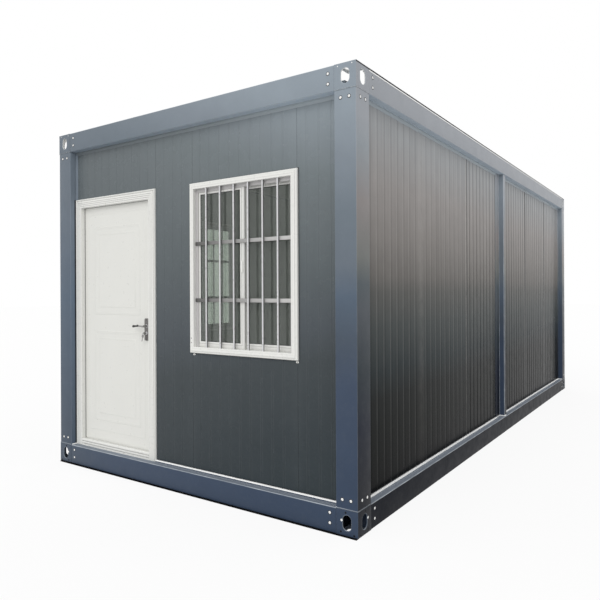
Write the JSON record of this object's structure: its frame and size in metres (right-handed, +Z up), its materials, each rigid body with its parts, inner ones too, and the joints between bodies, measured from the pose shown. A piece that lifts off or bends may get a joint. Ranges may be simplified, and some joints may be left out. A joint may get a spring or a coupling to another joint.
{
  "type": "container house",
  "caption": "Flat-pack container house with a bolted steel frame, ribbed panel walls, a panelled door with a lever, and barred sliding windows.",
  "frame": {"origin": "on the ground under the middle of the house", "axes": "+X to the right across the short walls, +Y along the house away from the door wall, +Z up"},
  "size_m": [3, 5.95, 2.8],
  "materials": {
    "frame_paint": "blue-grey semi-gloss coat on steel",
    "wall_panel": "dark grey gloss coat on ribbed steel facing",
    "floor_board": "plain flooring board",
    "ceiling_board": "satin white",
    "white_trim": "satin white",
    "rubber_seal": "matt black",
    "door_white": "satin white",
    "zinc_fittings": "zinc plated",
    "lever_metal": "satin steel",
    "window_white": "white moulded profile",
    "window_glass": "clear float glass"
  },
  "bodies": {
    "house": {"bottom_corner_front_left": "frame_paint", "bottom_corner_front_right": "frame_paint", "bottom_corner_rear_left": "frame_paint", "bottom_corner_rear_right": "frame_paint", "top_corner_front_left": "frame_paint", "top_corner_front_right": "frame_paint", "top_corner_rear_left": "frame_paint", "top_corner_rear_right": "frame_paint", "bottom_beam_front": "frame_paint", "bottom_beam_rear": "frame_paint", "bottom_beam_left": "frame_paint", "bottom_beam_right": "frame_paint", "top_beam_front": "frame_paint", "top_beam_rear": "frame_paint", "top_beam_left": "frame_paint", "top_beam_right": "frame_paint", "post_front_left": "frame_paint", "post_front_right": "frame_paint", "post_rear_left": "frame_paint", "post_rear_right": "frame_paint", "middle_posts": "frame_paint", "floor_joists": "frame_paint", "roof_purlins": "frame_paint", "roof_sheet": "frame_paint", "front_wall": "wall_panel", "rear_wall": "wall_panel", "right_wall_front": "wall_panel", "right_wall_rear": "wall_panel", "left_wall_front": "wall_panel", "left_wall_rear": "wall_panel", "floor_deck": "floor_board", "ceiling": "ceiling_board", "sill_strips": "white_trim", "head_strips": "wall_panel", "roof_edge_seals": "rubber_seal", "door_frame": "door_white", "door_hinge_pins": "zinc_fittings", "front_window_frame": "window_white", "left_window_frame": "window_white", "window_sashes": "window_white", "window_panes": "window_glass"},
    "door": {"door_leaf": "door_white", "door_hinge_knuckles": "zinc_fittings", "door_lock_plates": "lever_metal"},
    "lever": {"door_lever": "lever_metal"}
  },
  "joints": [
    {"name": "door_hinge", "type": "hinge", "parent": "house", "child": "door", "pos_m": [-1.285, -2.834, 1.19], "axis": [0, 0, 1], "range_deg": [0, 90]},
    {"name": "lever_turn", "type": "hinge", "parent": "door", "child": "lever", "pos_m": [-0.47, -2.865, 1.183], "axis": [0, -1, 0], "range_deg": [0, 40], "stiffness_Nm_per_rad": 1.5, "springref_deg": -11.46}
  ]
}
